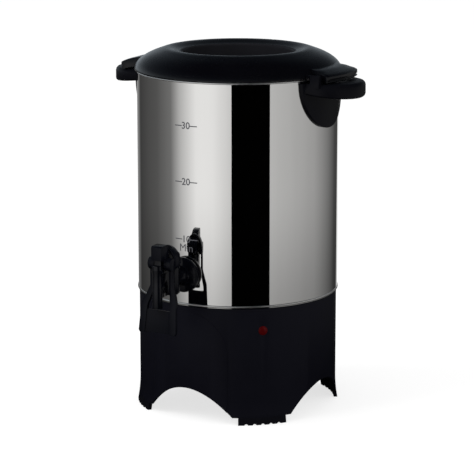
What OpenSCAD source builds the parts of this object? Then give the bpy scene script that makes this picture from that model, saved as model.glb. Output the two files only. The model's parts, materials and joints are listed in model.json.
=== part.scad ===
// Percolating coffee urn: a polished steel tank on a black moulded base, with a lift-off lid,
// two side handles, a cup-operated tap, and the pump tube, basket and heater that it holds.
// The urn's axis is Z, the feet stand on Z = 0, the tap points to -Y and the handles to +X and -X.

/* [Tank] */
// Outside diameter of the steel tank
body_d = 192; // [170:1:220]
// Height of the steel that shows between the base and the lid
shell_h = 211.6; // [190:1:240]
// Thickness of the steel
tank_t = 0.8; // [0.6:0.1:1.2]
// Radius of the rolled beads at the ends of the steel
bead_r = 0.9; // [0.6:0.1:1.2]
// Height of the tank's floor above the lower edge of the steel
floor_up = 8.6; // [7:0.2:12]
// Height of the tank's rim above the lower edge of the lid
rim_rise = 1.2; // [0.6:0.1:1.6]
// Diameter of the pump well in the floor
well_d = 56; // [50:1:60]
// Depth of the pump well
well_depth = 12; // [9:0.5:14]

/* [Base] */
// Height of the base, from the feet to the steel
base_h = 112.4; // [105:1:130]
// How far the base's side is set in from the steel
base_inset = 0.9; // [0.5:0.1:2]
// How far the feet flare out beyond the base's side
foot_flare = 2.4; // [1:0.1:4]
// Height over which the feet flare
flare_h = 26; // [20:1:34]
// Wall of the base
base_t = 3; // [2:0.1:4]
// Height of the arches between the feet
arch_h = 32.6; // [26:0.2:34]
// Half width of an arch at the floor
arch_half_w = 50.7; // [44:0.1:54]
// Height of the rubber foot pads
pad_h = 7; // [5:0.5:9]
// Half of the angle that one foot pad covers
pad_half_a = 13.9; // [11:0.1:15]
// Pitch of the grip ribs under the foot pads
pad_pitch = 8; // [6:0.5:12]
// Height of the bottom cover above the floor
cover_z = 40; // [38:1:50]
// Thickness of the bottom cover
cover_t = 1.2; // [0.8:0.1:2]
// Height of the raised panel behind the tap
panel_h = 107; // [98:1:109]
// How far that panel stands proud
panel_proud = 0.5; // [0.3:0.1:0.8]

/* [Lid] */
// Rise of the dome above the lid's lower edge
dome_h = 22.3; // [18:0.1:28]
// How far the lid's edge stands out from the steel
lid_over = 2.5; // [2.2:0.1:4]
// Diameter of the recess in the lid
recess_d = 112.8; // [100:0.4:120]
// Clearance between the pump tube's top and the recess
tube_clear = 5.8; // [5.2:0.1:10]
// Wall of the lid
lid_t = 2.4; // [2:0.1:3]
// Taper of the recess wall, from top to floor
recess_taper = 1.6; // [1:0.1:3]
// How far the lid's ears reach beyond the steel
ear_reach = 19; // [16:0.5:21]
// Start and sweep of an ear, in degrees from the front
ear_start = 75.9; // [75.6:0.1:78]
ear_sweep = 32; // [26:0.5:34]
// Height of the ears at their root
ear_h = 8.3; // [7:0.1:9]
// Angle by which the bayonet tab runs on past an ear
tab_a = 5.4; // [4:0.1:6]

/* [Handles] */
// How far a grip reaches beyond the steel
grip_reach = 36.5; // [32:0.5:40]
// Width of a grip
grip_w = 70; // [60:1:76]
// Depth of a grip at its outer edge
grip_h = 15; // [13:0.2:18]
// Wall of a grip
grip_t = 4.2; // [3:0.1:5]
// Rounding of a grip's upper edge
grip_edge = 3.8; // [2:0.1:5]
// Height of the apron under a grip
apron_h = 43.5; // [34:0.5:50]
// Thickness of the apron
apron_t = 3.2; // [2.5:0.1:4]
// Gap between the grip's top and the lid's lower edge
grip_drop = 4; // [3.6:0.1:6]
// Height of the post that stands on one end of a grip
post_h = 8; // [6:0.2:10]
// Width of that post along the grip
post_w = 5.6; // [4:0.1:5.8]

/* [Tap] */
// Height of the tap's axis above the lower edge of the steel
tap_up = 30.3; // [28.6:0.1:33.6]
// Distance from the steel to the valve
valve_reach = 23.5; // [23:0.1:26]
// Distance from the steel to the lever's pivot
pivot_reach = 38.5; // [38.5:0.1:41]
// Distance from the steel to the spout
spout_reach = 46.7; // [46.7:0.1:50]
// Diameter of the tap's flange
flange_d = 33; // [30:0.5:36]
// Thickness of the flange
flange_t = 4; // [3:0.1:5]
// Thickness of the sealing washer under the flange
gasket_t = 1.6; // [1.2:0.1:2]
// Diameter of the threaded shank
shank_d = 14; // [12:0.2:15]
// Diameter of the valve chamber
chamber_d = 16; // [15.5:0.1:16.6]
// Bore of the valve chamber
chamber_bore = 11; // [10.5:0.1:11.5]
// Diameter of the spout's tube
spout_d = 8.8; // [8.4:0.1:9.4]
// Bore of the spout
spout_bore = 6; // [5:0.1:6.4]
// Depth of the spout's mouth below the tap's axis
spout_drop = 22.8; // [21:0.1:23.4]
// Height of the pivot above the tap's axis
pivot_up = 17.3; // [17:0.1:18.5]
// Diameter of the pivot pin
pin_d = 3; // [2.6:0.1:3.4]
// Diameter of the valve stem
stem_d = 3; // [2.6:0.1:3.2]
// Width of the lever's hood
hood_w = 10.8; // [10.8:0.1:12]
// Wall of the lever's hood
hood_t = 1.5; // [1.2:0.1:1.6]
// Half width of the cup paddle at its lower edge
paddle_half_w = 20; // [18:0.5:23]
// Height of the cup paddle
paddle_h = 21.5; // [19:0.5:25]
// Width of the paddle's side bars
bar_w = 6.4; // [5:0.2:8]

/* [Percolator] */
// Outside diameter of the pump tube
tube_d = 9.6; // [8:0.2:11]
// Wall of the pump tube
tube_t = 0.8; // [0.6:0.1:1]
// How far the pump tube shows above the basket
tube_show = 10; // [6:0.5:12]
// Outside diameter of the basket
basket_d = 104; // [90:1:112]
// Height of the basket
basket_h = 54; // [44:1:58]
// Height of the basket's floor above the well's bottom
basket_up = 126; // [115:1:128]
// Diameter of the perforations
hole_d = 2.6; // [2:0.1:3]

/* [Electrics] */
// Height of the indicator above the floor
indicator_z = 90.7; // [90:0.1:98]
// Direction of the indicator, in degrees from the tap
indicator_a = 45.2; // [40:0.2:50]
// Diameter of the indicator's lens
indicator_d = 6; // [5:0.2:8]
// Height of the power inlet above the floor
inlet_z = 74; // [66:0.5:76]
// Width and height of the power inlet's socket
inlet_w = 27; // [26:0.5:30]
inlet_h = 20; // [19:0.5:22]
// Pitch of the inlet's two screws
inlet_pitch = 40; // [38:0.5:44]
// Gap between the pump well and the heating element
element_gap = 16.4; // [15.4:0.2:20]
// Diameter of the heating element's sheath
element_d = 6.6; // [5:0.2:8]

/* [Hidden] */
$fn = 96;
eps = 0.5;
// clearances
fit = 0.02;
slip = 0.1;
free = 0.3;
run = 0.06;
// radii and heights of the tank
body_r = body_d / 2;
in_r = body_r - tank_t;
z_lid = base_h + shell_h;
z_rim = z_lid + rim_rise;
z_floor = base_h + floor_up;
z_well = z_floor + tank_t - well_depth;
well_r = well_d / 2;
// base
base_r = body_r - base_inset;
base_in = base_r - base_t;
spigot_h = floor_up - fit;
spigot_r = body_r - 0.3 - bead_r - slip;
boss_r = 4.5;
boss_h = 22;
boss_hole = 17;
boss_at = base_in - 12;
cover_r = base_in - free;
ledge_w = 4;
ledge_h = 2.5;
screw_r = 1.6;
foot_angles = [45, 135, 225, 315];
// lid
lid_r = body_r + lid_over;
recess_r = recess_d / 2;
crest_r = recess_r - 7.8;
lip_r = 2;
seal_h = 1.5;
z_ledge = z_rim + seal_h + 2 * slip;
rim_bead = 0.7;
skirt_in = in_r + 0.3 + rim_bead + 0.7;
stopper_r = in_r - 1.8;
stopper_t = 2.2;
stopper_h = 7;
tab_reach = 3.6;
// handles
grip_top = z_lid - grip_drop;
grip_bottom = grip_top - grip_h;
grip_x = body_r + grip_reach;
grip_root = body_r + 2;
grip_back = body_r - 10;
grip_fall = 0.11;
grip_steps = 20;
post_in = lid_r + tab_reach + 1.6;
post_out = body_r + 10.7;
apron_half_a = 22.6;
handle_screw_a = 11;
handle_screw_z = grip_top - 7.5;
// tap, measured along -Y from the urn's axis
tap_z = base_h + tap_up;
face_y = body_r + gasket_t;
flange_y = face_y + flange_t;
valve_y = body_r + valve_reach;
pivot_y = body_r + pivot_reach;
spout_y = body_r + spout_reach;
pivot_z = tap_z + pivot_up;
chamber_r = chamber_d / 2;
z_chamber = tap_z - 12.7;
z_chamber_top = pivot_z - 6;
bonnet_h = 3.6;
z_seat = tap_z - 3.6;
z_outlet = tap_z - 8.7;
spout_r = spout_d / 2;
z_spout = tap_z - spout_drop;
hood_half = hood_w / 2;
hood_in = hood_half - hood_t;
web_half = hood_in - 0.5;
lug_r = 1.5;
z_head = pivot_z + lug_r + 0.15;
head_r = hood_in - 0.9;
drum_r = 6.1;
drum_half = 12;
hood_front = pivot_y + 10;
hood_rear = valve_y - 7;
hood_top = pivot_z + 17.7;
paddle_top = z_spout - 2.7;
paddle_bottom = paddle_top - paddle_h;
paddle_y = spout_y - 1.2;
// percolator
tube_r = tube_d / 2;
tube_h = basket_up + basket_h + tube_show;
foot_gap = 0.2;
z_foot = z_well + foot_gap;
foot_r = well_r - 5;
z_basket = z_foot + basket_up;
basket_r = basket_d / 2;
sheet = 0.8;
// electrics
plate_t = 2.5;
z_element = z_floor - plate_t - element_d / 2;
rod_r = 3;
element_r = well_r + tank_t + element_gap + element_d / 2;
shield_up = 40;
z_shield = cover_z + shield_up;
shield_r = 70;
shield_rim = 6;
thermostat_r = 6;
thermostat_h = 6;
inlet_depth = 16;
inlet_face = base_in - 1 + base_t + 1.4;
pin_l = 19;

// points of an arc about (x, y), from angle a0 to a1 in n steps
function arc_points(x, y, r, a0, a1, n) =
    [for (i = [0:n]) [x + r * cos(a0 + (a1 - a0) * i / n), y + r * sin(a0 + (a1 - a0) * i / n)]];

// places its children on the side of the urn: local Z points outwards, local Y points up
module on_side(angle, r, z) {
    rotate([0, 0, angle])
        translate([0, -r, z])
            rotate([90, 0, 0])
                children();
}

// a disc or tube lying along the tap's axis, from distance y0 to y1
module tap_round(y0, y1, r, z = tap_z) {
    on_side(0, y0, z)
        cylinder(r = r, h = y1 - y0);
}

// extrudes a side profile, drawn as (distance along the tap, height), to a width across it
module across(half_w) {
    rotate([90, 0, 90])
        translate([0, 0, -half_w])
            linear_extrude(height = 2 * half_w)
                children();
}

// a round hole through both walls of a body along X
module cross_hole(y, z, r, half_l) {
    translate([-half_l, -y, z])
        rotate([0, 90, 0])
            cylinder(r = r, h = 2 * half_l);
}

// ---- base ----

// outline of one arch, a parabola standing on the floor
function arch_points() =
    concat(
        [[-arch_half_w, -1], [arch_half_w, -1]],
        [for (i = [0:24]) let (x = arch_half_w * (1 - i / 12)) [x, arch_h * (1 - pow(x / arch_half_w, 2))]]
    );

module arches() {
    for (turn = [0, 90])
        rotate([0, 0, turn])
            rotate([90, 0, 0])
                translate([0, 0, -body_d])
                    linear_extrude(height = 2 * body_d)
                        polygon(arch_points());
}

// radius of the base's side at height z
function side_r(z) = base_r + (z < flare_h ? foot_flare * pow(1 - z / flare_h, 2) : 0);

module base_shell_profile() {
    outer = [for (i = [0:8]) let (z = pad_h + (flare_h - pad_h) * i / 8) [side_r(z), z]];
    inner = [for (p = outer) [p[0] - base_t, p[1]]];
    shoulder = arc_points(base_r - 1.2, base_h - 1.6, 1.2, 0, 90, 4);
    polygon(concat(
        outer,
        shoulder,
        [[spigot_r, base_h - 0.4], [spigot_r, base_h + spigot_h], [base_in, base_h + spigot_h]],
        [for (i = [8:-1:0]) inner[i]]
    ));
}

// the raised panel below the tap: straight sides under a round head
module tap_panel() {
    half_w = base_r * sin(25);
    intersection() {
        rotate([90, 0, 0])
            linear_extrude(height = body_d)
                union() {
                    translate([-half_w, pad_h])
                        square([2 * half_w, panel_h - half_w - pad_h]);
                    translate([0, panel_h - half_w])
                        circle(r = half_w);
                }
        rotate_extrude()
            polygon(concat(
                [for (i = [0:8]) let (z = pad_h + (flare_h - pad_h) * i / 8) [side_r(z) + panel_proud, z]],
                [[base_r + panel_proud, base_h], [base_in + 1, base_h], [base_in + 1, pad_h]]
            ));
    }
}

module base_housing() {
    color([0.06, 0.06, 0.065])
    difference() {
        union() {
            rotate_extrude()
                base_shell_profile();
            tap_panel();
            // ledge over the bottom cover
            translate([0, 0, cover_z + cover_t])
                rotate_extrude()
                    translate([base_in - ledge_w, 0])
                        square([ledge_w + 0.5, ledge_h]);
            // screw bosses, each tied to the wall by a rib
            for (a = foot_angles)
                rotate([0, 0, a]) {
                    translate([0, -boss_at, cover_z + cover_t])
                        cylinder(r = boss_r, h = boss_h);
                    translate([-1.2, -base_in - 0.5, cover_z + cover_t])
                        cube([2.4, base_in + 0.5 - boss_at, boss_h]);
                }
            // flat pad for the power inlet
            on_side(180, base_in - 1, inlet_z)
                translate([-inlet_pitch / 2 - 7, -inlet_h / 2 - 4, 0])
                    cube([inlet_pitch + 14, inlet_h + 8, base_t + 1.4]);
            // socket behind the indicator's lens
            on_side(indicator_a, base_in - 8, indicator_z)
                cylinder(d = indicator_d + 4.4, h = 9);
        }
        arches();
        for (a = foot_angles)
            rotate([0, 0, a])
                translate([0, -boss_at, cover_z - 1])
                    cylinder(r = screw_r - 0.1, h = boss_hole);
        on_side(indicator_a, base_in - 9, indicator_z)
            cylinder(d = indicator_d + 2 * slip, h = 30);
        on_side(180, base_in - 9, inlet_z)
            translate([-inlet_w / 2 - slip, -inlet_h / 2 - slip, 0])
                cube([inlet_w + 2 * slip, inlet_h + 2 * slip, 30]);
        for (side = [-1, 1])
            on_side(180, base_in - 9, inlet_z)
                translate([side * inlet_pitch / 2, 0, 0])
                    cylinder(r = screw_r - 0.1, h = 30);
    }
}

module foot_pads() {
    rib_n = floor(side_r(0) * 2 * pad_half_a * PI / 180 / pad_pitch);
    rib_a = pad_pitch / side_r(0) * 180 / PI;
    color([0.05, 0.05, 0.05])
    for (a = foot_angles)
        rotate([0, 0, a - 90 - pad_half_a])
            difference() {
                rotate_extrude(angle = 2 * pad_half_a)
                    polygon([
                        [side_r(0) - base_t - 0.6, 0], [side_r(0), 0],
                        [side_r(pad_h), pad_h], [side_r(pad_h) - base_t - 0.6, pad_h]
                    ]);
                for (i = [0:rib_n - 1])
                    rotate([0, 0, pad_half_a + rib_a * (i - (rib_n - 1) / 2)])
                        translate([side_r(0) - 10, 0, -0.6])
                            rotate([0, 90, 0])
                                cylinder(r = 1.9, h = 20, $fn = 24);
            }
}

module base_cover() {
    color([0.55, 0.56, 0.58])
    difference() {
        union() {
            translate([0, 0, cover_z])
                cylinder(r = cover_r, h = cover_t);
            // stiffening bead
            translate([0, 0, cover_z - 1.2])
                rotate_extrude()
                    translate([cover_r - 26, 0])
                        square([4, 1.2]);
        }
        translate([0, 0, cover_z - 2])
            cylinder(r = rod_r + slip, h = 6);
        for (a = foot_angles)
            rotate([0, 0, a])
                translate([0, -boss_at, cover_z - 1])
                    cylinder(r = screw_r + 0.3, h = 4);
        // cooling slots
        for (a = [0:30:330])
            rotate([0, 0, a])
                for (r = [22, 40])
                    translate([r, -1.6, cover_z - 2])
                        cube([12, 3.2, 6]);
    }
}

module cover_screws() {
    color([0.7, 0.7, 0.72])
    for (a = foot_angles)
        rotate([0, 0, a])
            translate([0, -boss_at, cover_z])
                difference() {
                    union() {
                        translate([0, 0, -2])
                            cylinder(r = 3.2, h = 2);
                        cylinder(r = screw_r - 0.12, h = boss_hole - 4);
                    }
                    for (turn = [0, 90])
                        rotate([0, 0, turn])
                            translate([-1.8, -0.4, -2.5])
                                cube([3.6, 0.8, 1.6]);
                }
}

// ---- tank ----

module tank_profile() {
    translate([in_r, base_h])
        square([tank_t, z_rim - base_h]);
    for (z = [base_h + bead_r + 0.5, z_lid - bead_r - 0.5])
        translate([body_r - 0.3, z])
            circle(r = bead_r, $fn = 24);
    // rolled rim
    translate([in_r + 0.3, z_rim - rim_bead])
        circle(r = rim_bead, $fn = 24);
    translate([well_r, z_floor])
        square([in_r + 0.1 - well_r, tank_t]);
    translate([well_r, z_well - tank_t])
        square([tank_t, well_depth]);
    translate([0, z_well - tank_t])
        square([well_r + tank_t, tank_t]);
}

module tank() {
    color([0.82, 0.82, 0.84])
    difference() {
        rotate_extrude($fn = 180)
            tank_profile();
        tap_round(body_r - 12, body_r + 12, shank_d / 2 + free);
        for (side = [0, 180], a = [-handle_screw_a, handle_screw_a])
            on_side(90 + side + a, body_r - 5, handle_screw_z)
                cylinder(r = 2.1, h = 10);
    }
}

module tie_rod() {
    color([0.7, 0.7, 0.72]) {
        translate([0, 0, cover_z - 8])
            cylinder(r = rod_r, h = z_well - tank_t - cover_z + 8);
        translate([0, 0, z_shield - 2])
            cylinder(r = 2 * rod_r, h = 2);
        translate([0, 0, z_well - tank_t - 2])
            cylinder(r = 2.4 * rod_r, h = 2);
    }
}

module tie_nut() {
    color([0.7, 0.7, 0.72])
    translate([0, 0, cover_z - 5])
        difference() {
            cylinder(r = 5.8, h = 5, $fn = 6);
            translate([0, 0, -1])
                cylinder(r = rod_r + fit, h = 7);
        }
}

// ---- heater and controls ----

module heater_plate() {
    color([0.75, 0.76, 0.78])
    translate([0, 0, z_floor - plate_t])
        difference() {
            cylinder(r = element_r + 17, h = plate_t);
            translate([0, 0, -1])
                cylinder(r = well_r + tank_t + 1, h = plate_t + 2);
        }
}

module heating_element() {
    gap_a = 24;
    color([0.45, 0.42, 0.4]) {
        rotate([0, 0, 90 + gap_a / 2])
            rotate_extrude(angle = 360 - gap_a)
                translate([element_r, z_element])
                    circle(d = element_d, $fn = 24);
        for (side = [-1, 1])
            rotate([0, 0, 90 + side * gap_a / 2])
                translate([element_r, 0, z_element - 20]) {
                    cylinder(d = element_d + 1, h = 20 + element_d / 2 - 0.4);
                    translate([-0.4, -3, -9])
                        cube([0.8, 6, 10]);
                }
    }
}

module thermostat() {
    color([0.2, 0.19, 0.18])
    rotate([0, 0, 150])
        translate([0, -(well_r + tank_t + 0.5 + element_gap / 2), z_floor - plate_t - thermostat_h]) {
            cylinder(r = thermostat_r, h = thermostat_h);
            for (side = [-1, 1])
                translate([side * 3 - 1.5, -0.4, -8])
                    cube([3, 0.8, 9]);
        }
}

module thermal_fuse() {
    fuse_r = 2;
    color([0.8, 0.76, 0.7])
    translate([0, -(well_r + tank_t + 0.5 + element_gap / 2), z_floor - plate_t - fuse_r])
        rotate([0, 90, 0]) {
            translate([0, 0, -6])
                cylinder(r = fuse_r, h = 12);
            translate([0, 0, -16])
                cylinder(r = 0.6, h = 32);
        }
}

module heat_shield() {
    color([0.8, 0.8, 0.82])
    difference() {
        union() {
            translate([0, 0, z_shield])
                cylinder(r = shield_r, h = sheet);
            translate([0, 0, z_shield])
                rotate_extrude()
                    translate([shield_r - sheet, 0])
                        square([sheet, shield_rim]);
        }
        translate([0, 0, z_shield - 1])
            cylinder(r = rod_r + slip, h = 4);
        // way through for the heater's leads
        rotate([0, 0, 90])
            translate([element_r - 8, -16, z_shield - 1])
                cube([16, 32, 4]);
    }
}

module indicator_lens() {
    color([0.75, 0.03, 0.03])
    on_side(indicator_a, base_in - 2, indicator_z)
        intersection() {
            cylinder(d = indicator_d, h = base_t + 3);
            translate([0, 0, base_t + 2.9 - indicator_d])
                sphere(r = indicator_d, $fn = 64);
        }
}

module indicator_lamp() {
    color([0.9, 0.6, 0.4])
    on_side(indicator_a, base_in - 18, indicator_z) {
        cylinder(d = indicator_d - 1, h = 16);
        for (side = [-1, 1])
            translate([side * 1.2, 0, -10])
                cylinder(r = 0.4, h = 11, $fn = 16);
    }
}

// the inlet's socket, a recess with a flange on the base's flat pad
module power_inlet() {
    color([0.04, 0.04, 0.04])
    on_side(180, inlet_face, inlet_z)
        difference() {
            union() {
                translate([-inlet_pitch / 2 - 5.5, -inlet_h / 2 - 2, 0])
                    cube([inlet_pitch + 11, inlet_h + 4, 2]);
                translate([-inlet_w / 2, -inlet_h / 2, -inlet_depth])
                    cube([inlet_w, inlet_h, inlet_depth + 1]);
            }
            translate([-inlet_w / 2 + 1.6, -inlet_h / 2 + 1.6, -inlet_depth + 2])
                cube([inlet_w - 3.2, inlet_h - 3.2, inlet_depth + 2]);
            for (side = [-1, 1])
                translate([side * inlet_pitch / 2, 0, -1])
                    cylinder(r = screw_r + 0.2, h = 5);
            for (x = [-7, 0, 7])
                translate([x - 2, (x == 0 ? 3 : -2) - 1, -inlet_depth - 1])
                    cube([4, 2, 5]);
        }
}

module inlet_pins() {
    color([0.8, 0.7, 0.4])
    on_side(180, inlet_face, inlet_z)
        for (x = [-7, 0, 7])
            translate([x - 2 + fit, (x == 0 ? 3 : -2) - 1 + fit, -inlet_depth - 8])
                cube([4 - 2 * fit, 2 - 2 * fit, pin_l]);
}

module inlet_screws() {
    color([0.7, 0.7, 0.72])
    for (side = [-1, 1])
        on_side(180, inlet_face, inlet_z)
            translate([side * inlet_pitch / 2, 0, 0])
                difference() {
                    union() {
                        translate([0, 0, -8])
                            cylinder(r = screw_r - 0.12, h = 10.1);
                        translate([0, 0, 2])
                            cylinder(r = 2.9, h = 1.6);
                    }
                    translate([-2, -0.4, 2.8])
                        cube([4, 0.8, 2]);
                }
}

// ---- handles ----

// plan of a grip: half an ellipse whose sides run straight on into the tank, set in by inset
function grip_plan(inset) =
    let (w = grip_w / 2 - inset, l = grip_x - inset - grip_root)
    concat(
        [[grip_back, -w]],
        [for (i = [0:grip_steps]) let (a = -90 + 180 * i / grip_steps) [grip_root + l * cos(a), w * sin(a)]],
        [[grip_back, w]]
    );

// one level of a grip at its lower (up = -1) or upper (up = 1) edge, at angle a round the edge's rounding
function grip_ring(up, r, a) =
    [for (p = grip_plan(r * (1 - cos(a))))
        [p[0], p[1], up > 0
            ? grip_top - r * (1 - sin(a))
            : grip_bottom + (grip_x - p[0]) * grip_fall + r * (1 - sin(a))]];

// a grip before it is hollowed: level upper side, rising underside, both edges rounded
module grip_body() {
    rings = concat(
        [for (i = [3:-1:0]) grip_ring(-1, grip_t - 1.2, 30 * i)],
        [for (i = [0:3]) grip_ring(1, grip_edge, 30 * i)]
    );
    n = grip_steps + 3;
    last = len(rings) - 1;
    polyhedron(
        points = [for (ring = rings, p = ring) p],
        faces = concat(
            [for (k = [0:last - 1], i = [0:n - 2]) [k * n + i, (k + 1) * n + i, (k + 1) * n + i + 1]],
            [for (k = [0:last - 1], i = [0:n - 2]) [k * n + i, (k + 1) * n + i + 1, k * n + i + 1]],
            [[for (k = [0:last]) k * n + n - 1, for (k = [last:-1:0]) k * n]],
            [[for (i = [0:n - 1]) i]],
            [[for (i = [n - 1:-1:0]) last * n + i]]
        )
    );
}

// the half round outline of the apron, drawn as (across, height)
module apron_outline() {
    w = (body_r + apron_t) * sin(apron_half_a);
    polygon(concat(
        [for (i = [0:24]) let (a = 180 + i * 7.5) [w * cos(a), grip_top - 1 + apron_h * sin(a)]],
        [[w, grip_top], [-w, grip_top]]
    ));
}

module handle() {
    inside = body_r + 0.05;
    color([0.07, 0.07, 0.075])
    difference() {
        union() {
            intersection() {
                rotate([90, 0, 90])
                    linear_extrude(height = grip_x)
                        apron_outline();
                cylinder(r = body_r + apron_t, h = z_lid, $fn = 180);
            }
            // post that stops the lid's ear
            difference() {
                translate([body_r - 2, -grip_w / 2, grip_top - grip_edge])
                    cube([post_out - body_r + 2, post_w, post_h + grip_edge]);
                translate([0, 0, grip_top])
                    cylinder(r = post_in, h = 20, $fn = 180);
            }
            difference() {
                grip_body();
                // hollow for the fingers
                intersection() {
                    translate([0, 0, grip_bottom - 6])
                        linear_extrude(height = grip_h + 6 - grip_t)
                            polygon(grip_plan(grip_t));
                    translate([body_r + 6, -grip_w, 0])
                        cube([grip_w, 2 * grip_w, z_lid]);
                }
            }
        }
        cylinder(r = inside, h = 2 * z_lid, $fn = 180);
        for (a = [-handle_screw_a, handle_screw_a])
            on_side(90 + a, body_r - 5, handle_screw_z)
                cylinder(r = 1.8, h = 9.5);
    }
}

module handle_right() {
    handle();
}

module handle_left() {
    rotate([0, 0, 180])
        handle();
}

module handle_screws() {
    color([0.7, 0.7, 0.72])
    for (side = [0, 180], a = [-handle_screw_a, handle_screw_a])
        on_side(90 + side + a, in_r - 2.6, handle_screw_z)
            difference() {
                union() {
                    cylinder(r = 3.6, h = 2.4);
                    cylinder(r = 1.78, h = 7.6);
                }
                for (turn = [0, 90])
                    rotate([0, 0, turn])
                        translate([-2, -0.4, -0.5])
                            cube([4, 0.8, 1.7]);
            }
}

// ---- tap ----

module tap_gasket() {
    color([0.12, 0.12, 0.12])
    difference() {
        tap_round(body_r - 4, face_y, flange_d / 2 - 1);
        tap_round(body_r - 6, face_y + 1, shank_d / 2 + slip);
        cylinder(r = body_r + fit, h = z_lid, $fn = 180);
    }
}

module tap_inner_washer() {
    nut_y = in_r - 3.5;
    color([0.5, 0.3, 0.22])
    intersection() {
        difference() {
            tap_round(nut_y, body_r, shank_d / 2 + 4.5);
            tap_round(nut_y - 1, body_r + 1, shank_d / 2 + slip);
        }
        cylinder(r = in_r - 0.05, h = z_lid, $fn = 180);
    }
}

module tap_nut() {
    nut_y = in_r - 3.5;
    color([0.85, 0.85, 0.85])
    difference() {
        on_side(0, nut_y - 5, tap_z)
            cylinder(r = shank_d / 2 + 5.2, h = 5, $fn = 6);
        tap_round(nut_y - 6, nut_y + 1, shank_d / 2 + fit);
    }
}

// the web that carries the pivot, the bridge to the spout, and the passages in them
module tap_body() {
    passage_r = 3.4;
    neck_top = hood_top - hood_t - 4.6;
    color([0.05, 0.05, 0.055])
    difference() {
        union() {
            tap_round(in_r - 12, face_y + 0.5, shank_d / 2);
            tap_round(face_y, flange_y - 1, flange_d / 2);
            tap_round(flange_y - 1, flange_y, flange_d / 2 - 1);
            on_side(0, flange_y, tap_z)
                cylinder(r = 10.4, h = 3.4, $fn = 6);
            tap_round(flange_y, valve_y, chamber_r);
            translate([0, -valve_y, z_chamber])
                cylinder(r = chamber_r, h = z_chamber_top - z_chamber);
            translate([0, -valve_y, z_chamber - 1.4])
                cylinder(r = chamber_r - 1.4, h = 2);
            // bridge between the chamber and the spout
            across(spout_r - 0.2)
                polygon([
                    [-valve_y, z_chamber + 1], [-spout_y, z_outlet - 4.4], [-spout_y, tap_z + 9],
                    [-valve_y, tap_z + 9]
                ]);
            // web and neck under the lever's hood
            across(web_half)
                polygon([
                    [-(valve_y + chamber_r - 1), tap_z + 6], [-(spout_y - 0.5), tap_z + 6],
                    [-(hood_front - hood_t - 0.8), neck_top - 3], [-(hood_front - hood_t - 3.8), neck_top],
                    [-(pivot_y - 4), neck_top], [-(pivot_y - 5.5), pivot_z - 4.2],
                    [-(valve_y + chamber_r - 1), pivot_z - 7]
                ]);
            // spout: collar, tube and mouth
            translate([0, -spout_y, z_spout])
                cylinder(r = spout_r + 0.35, h = 18.8);
            translate([0, -spout_y, z_spout])
                cylinder(r = spout_r, h = pivot_z - 0.4 - z_spout);
            translate([0, -spout_y, tap_z + 10.5])
                cylinder(r = spout_r + 0.5, h = pivot_z - 0.4 - tap_z - 10.5);
            translate([0, -spout_y, tap_z + 12.6])
                cylinder(r = spout_r + 0.65, h = 1.2);
        }
        // inlet passage
        tap_round(in_r - 13, valve_y, passage_r);
        // valve chamber over its seat
        translate([0, -valve_y, z_seat])
            cylinder(r = chamber_bore / 2, h = 30);
        translate([0, -valve_y, z_outlet - 2])
            cylinder(r = 2.6, h = 8);
        // outlet passage to the spout
        tap_round(valve_y, spout_y, 2.6, z_outlet);
        translate([0, -spout_y, z_spout - 1])
            cylinder(r = spout_bore / 2, h = z_outlet + 3 - z_spout + 1);
        cross_hole(pivot_y, pivot_z, pin_d / 2 + run, web_half + 1);
    }
}

module tap_bonnet() {
    color([0.08, 0.08, 0.085])
    translate([0, -valve_y, z_chamber_top])
        difference() {
            union() {
                cylinder(r = chamber_r - 0.6, h = bonnet_h);
                translate([0, 0, -3])
                    cylinder(r = chamber_bore / 2 - fit, h = 3.5);
                for (a = [0:20:340])
                    rotate([0, 0, a])
                        translate([chamber_r - 0.9, -0.5, 0.4])
                            cube([0.7, 1, bonnet_h - 0.8]);
            }
            translate([0, 0, -4])
                cylinder(r = stem_d / 2 + run, h = 10);
        }
}

// spring between the bonnet and the seat cup: a wire swept along a helix
spring_coils = 3.5;
spring_steps = 16;
spring_r = stem_d / 2 + 1.7;
spring_wire = 0.28;
z_spring_top = z_chamber_top - 3 - spring_wire - 0.05;
z_spring_bottom = z_seat + 5.2 + spring_wire;

function spring_point(i, k) =
    let (
        turn = 360 * i / spring_steps,
        around = 60 * k,
        r = spring_r + spring_wire * cos(around),
        rise = (z_spring_top - z_spring_bottom) * i / (spring_coils * spring_steps)
    )
    [r * cos(turn), r * sin(turn) - valve_y, z_spring_bottom + rise + spring_wire * sin(around)];

module tap_spring() {
    rings = spring_coils * spring_steps;
    points = [for (i = [0:rings], k = [0:5]) spring_point(i, k)];
    sides = [
        for (i = [0:rings - 1], k = [0:5])
            let (n = (k + 1) % 6)
                [6 * i + k, 6 * i + n, 6 * (i + 1) + n, 6 * (i + 1) + k]
    ];
    ends = [[5, 4, 3, 2, 1, 0], [for (k = [0:5]) 6 * rings + k]];
    color([0.8, 0.8, 0.82])
    polyhedron(points = points, faces = concat(sides, ends));
}

module tap_stem() {
    color([0.8, 0.8, 0.82])
    translate([0, -valve_y, 0]) {
        translate([0, 0, z_seat + 1.6])
            cylinder(d = stem_d, h = z_head + 1.6 - z_seat - 1.6);
        translate([0, 0, z_head])
            cylinder(r = head_r, h = 1.8);
        translate([0, 0, z_seat + 4.2])
            cylinder(r = stem_d / 2 + 2.4, h = 0.9);
    }
}

module tap_seat_cup() {
    color([0.6, 0.25, 0.2])
    translate([0, -valve_y, z_seat + slip])
        difference() {
            rotate_extrude()
                polygon([[0, 0], [3.2, 0], [4.6, 1.6], [4.6, 4.1], [0, 4.1]]);
            translate([0, 0, 1.5])
                cylinder(d = stem_d + 2 * fit, h = 4);
        }
}

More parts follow.
